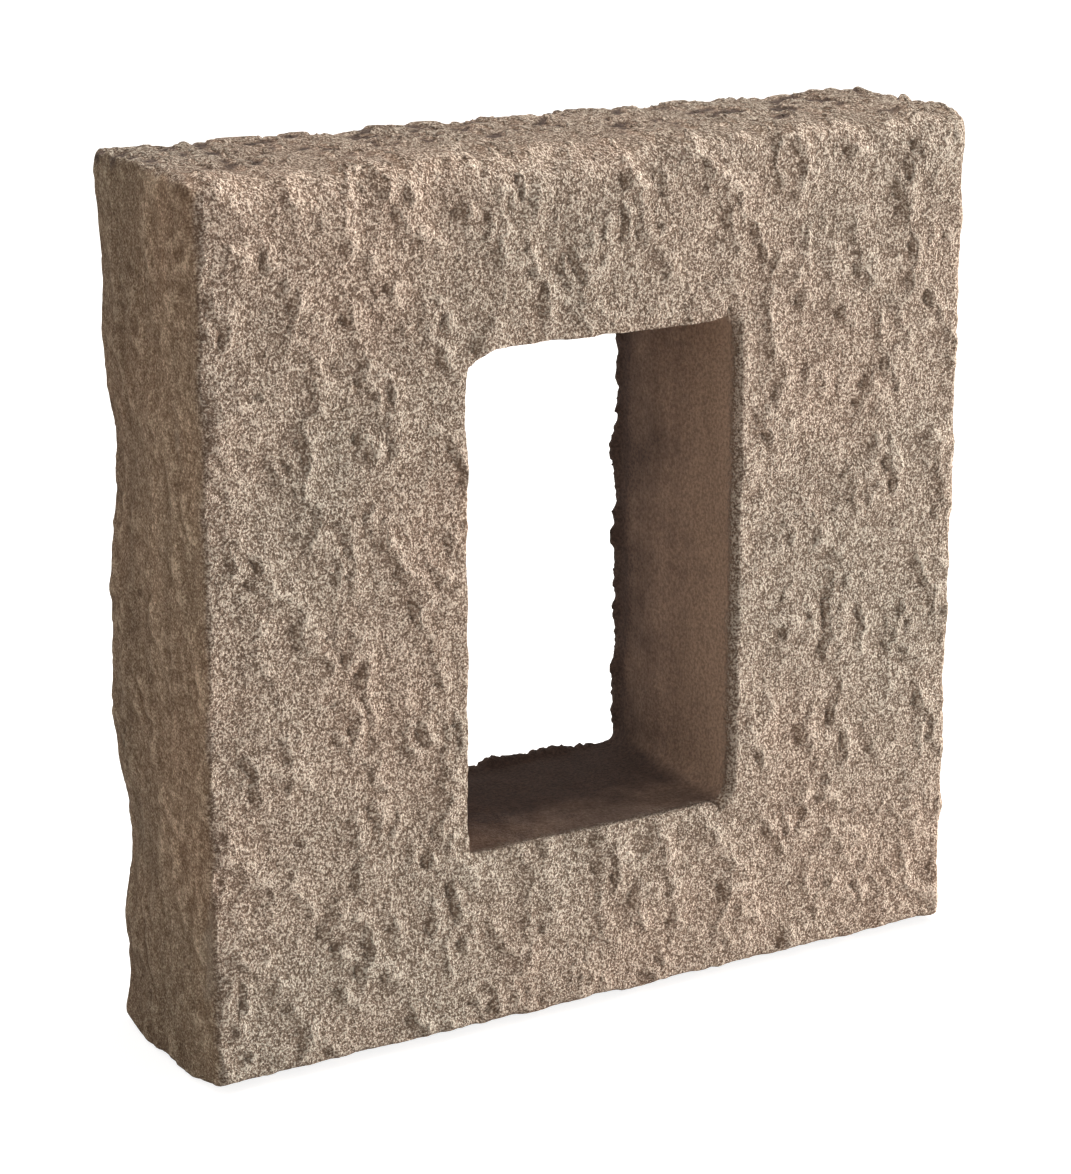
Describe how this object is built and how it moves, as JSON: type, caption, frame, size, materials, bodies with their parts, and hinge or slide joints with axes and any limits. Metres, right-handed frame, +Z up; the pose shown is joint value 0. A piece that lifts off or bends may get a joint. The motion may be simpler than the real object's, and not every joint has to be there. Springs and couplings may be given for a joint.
{
  "type": "stone veneer receptacle block",
  "caption": "Square cast concrete block with a hewn stone face and a rectangular opening, built into a stone veneer wall around an electrical box.",
  "frame": {"origin": "middle of the base, where the block stands on its level lower band", "axes": "+Z up; +Y out of the flat back, towards the wall; the hewn face looks along -Y; +X to the right as seen from the face"},
  "size_m": [0.2032, 0.0508, 0.2032],
  "materials": {
    "cast_stone": "rough tan cast concrete, hewn on the face and the top, smoother on the sides and in the opening"
  },
  "bodies": {
    "root": {"veneer_block": "cast_stone"}
  },
  "joints": []
}
